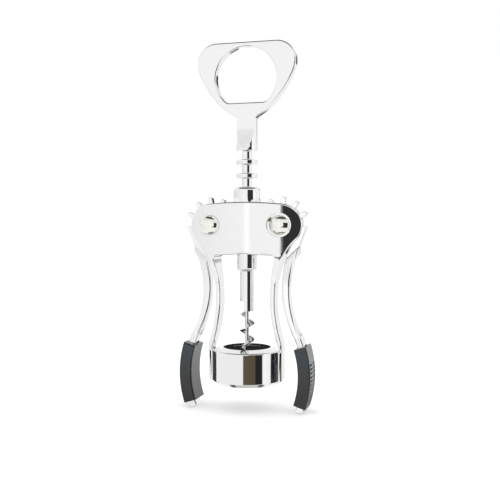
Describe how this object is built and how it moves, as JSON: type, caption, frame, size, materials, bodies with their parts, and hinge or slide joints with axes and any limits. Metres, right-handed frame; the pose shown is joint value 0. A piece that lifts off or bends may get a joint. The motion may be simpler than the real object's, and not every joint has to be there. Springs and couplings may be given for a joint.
{
  "type": "wing corkscrew",
  "caption": "Two-lever corkscrew: hinged wings with finger gears drive a ringed spindle through a frame and bell; its loop handle is a bottle opener.",
  "frame": {"origin": "on the spindle's axis in the plane of the bell's mouth, where the bottle's neck enters", "axes": "+Z along the spindle towards the opener handle, levers swing in the XZ plane, front towards -Y"},
  "size_m": [0.0696, 0.0364, 0.1901],
  "materials": {
    "chrome_casting": "polished chrome plate on a zinc casting",
    "chrome_spindle": "polished chrome plate on turned steel",
    "rivet_nickel": "polished nickel plate, slightly warm",
    "steel_screw": "bright plated steel",
    "grip_plastic": "semi-matt moulded charcoal plastic",
    "liner_plastic": "matt black moulded plastic"
  },
  "bodies": {
    "frame": {"frame": "chrome_casting", "bell_liner": "liner_plastic", "pivot_rivet_left": "rivet_nickel", "pivot_rivet_right": "rivet_nickel", "rivet_cap_left": "rivet_nickel", "rivet_cap_right": "rivet_nickel"},
    "lever_left": {"lever_left": "chrome_casting", "grip_left": "grip_plastic"},
    "lever_right": {"lever_right": "chrome_casting", "grip_right": "grip_plastic"},
    "rack": {"rack_sleeve": "chrome_spindle"},
    "screw": {"opener_handle": "chrome_casting", "screw_shaft": "steel_screw", "worm_ferrule": "chrome_spindle", "worm": "steel_screw"}
  },
  "joints": [
    {"name": "lever_right_lift", "type": "hinge", "parent": "frame", "child": "lever_right", "pos_m": [0.0185, 0, 0.082], "axis": [0, -1, 0], "range_deg": [0, 150]},
    {"name": "lever_left_lift", "type": "hinge", "parent": "frame", "child": "lever_left", "pos_m": [-0.0185, 0, 0.082], "axis": [0, 1, 0], "range_deg": [0, 150]},
    {"name": "rack_slide", "type": "slide", "parent": "frame", "child": "rack", "axis": [0, 0, -1], "range_m": [0, 0.03535]},
    {"name": "handle_spin", "type": "hinge", "parent": "rack", "child": "screw", "pos_m": [0, 0, 0.12], "axis": [0, 0, -1], "continuous": true}
  ],
  "couplings": [
    {"joint": "lever_left_lift", "follows": "lever_right_lift", "ratio": 1},
    {"joint": "rack_slide", "follows": "lever_right_lift", "m_per_rad": 0.0135}
  ]
}
